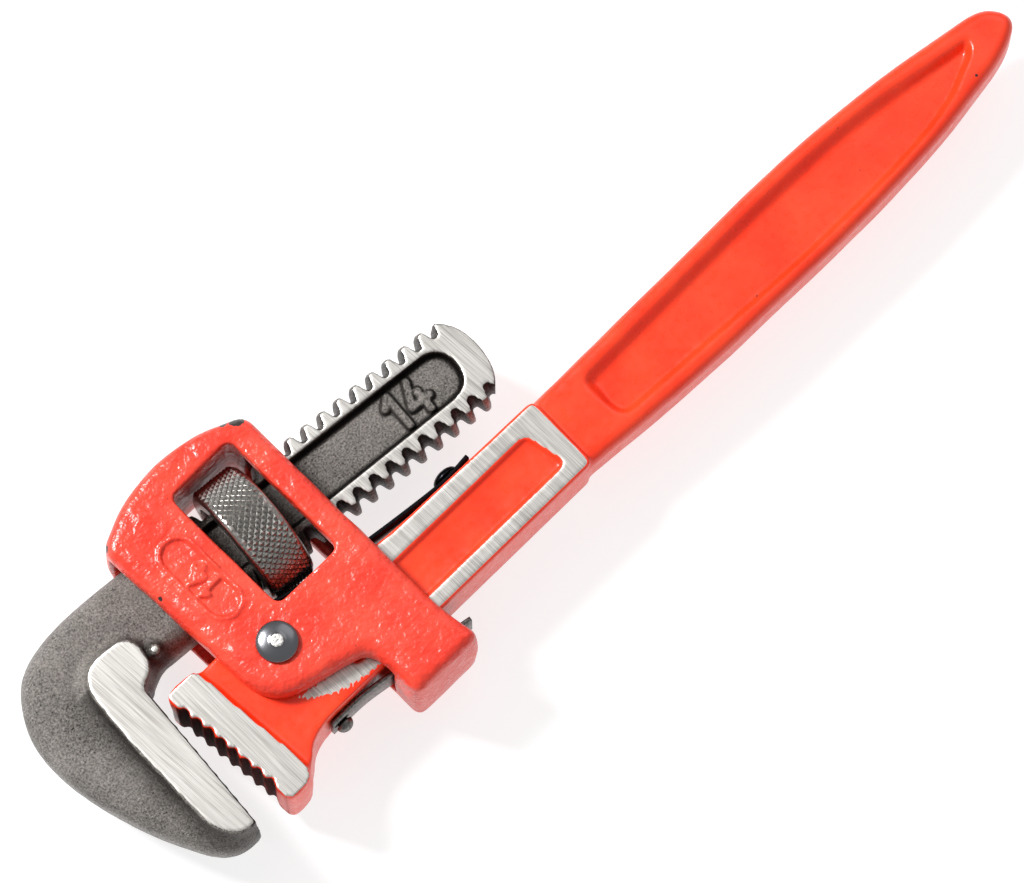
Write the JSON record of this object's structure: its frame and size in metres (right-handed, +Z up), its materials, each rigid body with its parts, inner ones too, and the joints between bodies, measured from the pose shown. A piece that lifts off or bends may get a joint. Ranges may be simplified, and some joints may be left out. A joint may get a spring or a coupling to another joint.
{
  "type": "pipe wrench",
  "caption": "Stillson pattern adjustable pipe wrench: hook jaw on a threaded shank, knurled nut in a pivoting frame, heel jaw on a long pocketed handle.",
  "frame": {"origin": "middle of the wrench's footprint, on the surface that it lies on", "axes": "+X along the handle to its tip, +Y across the handle to the side of the hook jaw's shank, +Z up through the thickness"},
  "size_m": [0.349, 0.1, 0.039],
  "materials": {
    "handle_enamel": "glossy orange-red enamel on forged steel, jaw flats and block rim ground bare",
    "frame_enamel": "orange-red enamel on a rough casting",
    "hook_steel": "dark, grainy forged steel, jaw flat and shank edges ground bright",
    "nut_steel": "dark steel with a diamond knurl",
    "rivet_steel": "polished dark steel with a bright peened centre",
    "spring_steel": "black oxide"
  },
  "bodies": {
    "handle": {"handle": "handle_enamel", "pivot_rivet": "rivet_steel", "front_spring": "spring_steel", "front_spring_rivet": "spring_steel", "back_spring": "spring_steel", "back_spring_rivet": "rivet_steel"},
    "frame": {"frame": "frame_enamel"},
    "hook_jaw": {"hook_jaw": "hook_steel"},
    "nut": {"nut": "nut_steel"}
  },
  "joints": [
    {"name": "frame_rock", "type": "hinge", "parent": "handle", "child": "frame", "pos_m": [-0.10678, -0.01148, 0.0195], "axis": [0, 0, 1], "range_deg": [-4, 4], "stiffness_Nm_per_rad": 10, "deforming": ["front_spring", "back_spring"]},
    {"name": "jaw_travel", "type": "slide", "parent": "frame", "child": "hook_jaw", "axis": [-0.996, 0.0889, 0], "range_m": [-0.0012, 0.045]},
    {"name": "nut_spin", "type": "hinge", "parent": "frame", "child": "nut", "pos_m": [-0.08718, 0.01943, 0.0195], "axis": [-0.996, 0.0889, 0], "range_deg": [-2701, 76]}
  ],
  "couplings": [
    {"joint": "nut_spin", "follows": "jaw_travel", "rad_per_m": -1047.2}
  ]
}
